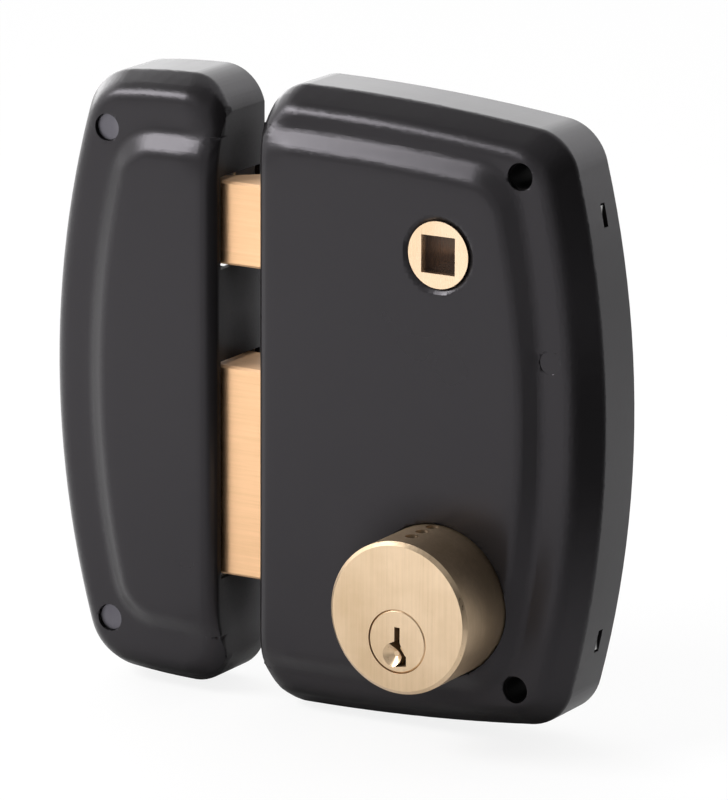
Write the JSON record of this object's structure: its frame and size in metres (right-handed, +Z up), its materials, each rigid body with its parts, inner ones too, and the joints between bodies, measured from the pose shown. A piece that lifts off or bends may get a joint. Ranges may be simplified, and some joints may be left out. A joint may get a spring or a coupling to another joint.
{
  "type": "rim lock",
  "caption": "Surface-mounted rim lock with a cylinder, a spindle-driven latch and a key-driven deadbolt, both thrown into a matching keeper.",
  "frame": {"origin": "axis of the cylinder's plug, in the plane of the door that the lock lies on", "axes": "+X from the keeper towards the lock, so the bolts are drawn along +X; +Y into the door; +Z up"},
  "size_m": [0.135, 0.038, 0.136],
  "materials": {
    "case_enamel": "dark graphite enamel, satin",
    "zinc_steel": "zinc plated, satin",
    "spring_steel": "drawn wire, semi-gloss",
    "dark_steel": "enamelled with the case, satin",
    "grey_steel": "grey, satin",
    "bolt_brass": "fine ground, satin",
    "hub_brass": "turned, satin",
    "cylinder_brass": "fine vertical grain, satin",
    "pin_brass": "turned, semi-gloss"
  },
  "bodies": {
    "case": {"lock_cover": "case_enamel", "case_plate": "zinc_steel", "fixing_tubes": "zinc_steel", "cover_post": "dark_steel", "latch_guide_post": "zinc_steel", "latch_spring": "spring_steel", "spring_seat": "zinc_steel", "deadbolt_guide_post": "zinc_steel", "drag_spring": "spring_steel", "drag_post": "zinc_steel", "cylinder_body": "cylinder_brass", "driver_pins": "pin_brass", "pin_springs": "spring_steel", "chamber_caps": "pin_brass", "cylinder_screws": "zinc_steel", "keeper_cover": "case_enamel", "keeper_frame": "zinc_steel", "keeper_posts": "grey_steel"},
    "latch": {"latch_bolt": "bolt_brass", "latch_tail": "zinc_steel", "latch_rivets": "zinc_steel"},
    "hub": {"spindle_hub": "hub_brass"},
    "bolt": {"deadbolt": "bolt_brass", "deadbolt_tail": "zinc_steel", "deadbolt_rivets": "zinc_steel"},
    "plug": {"cylinder_plug": "cylinder_brass", "cylinder_cam": "zinc_steel", "cam_clip": "spring_steel", "key_pins": "pin_brass"}
  },
  "joints": [
    {"name": "latch_slide", "type": "slide", "parent": "case", "child": "latch", "axis": [1, 0, 0], "range_m": [0, 0.0145], "stiffness_N_per_m": 350, "springref_m": -0.01, "deforming": ["latch_spring"]},
    {"name": "hub_turn", "type": "hinge", "parent": "case", "child": "hub", "pos_m": [0, -0.012, 0.0797], "axis": [0, -1, 0], "range_deg": [0, 45]},
    {"name": "plug_turn", "type": "hinge", "parent": "case", "child": "plug", "pos_m": [0, -0.02, 0], "axis": [0, 1, 0], "range_deg": [0, 91.17]},
    {"name": "deadbolt_slide", "type": "slide", "parent": "case", "child": "bolt", "axis": [1, 0, 0], "range_m": [0, 0.02]}
  ],
  "couplings": [
    {"joint": "hub_turn", "follows": "latch_slide", "rad_per_m": 54.165},
    {"joint": "plug_turn", "follows": "deadbolt_slide", "rad_per_m": 79.559}
  ]
}
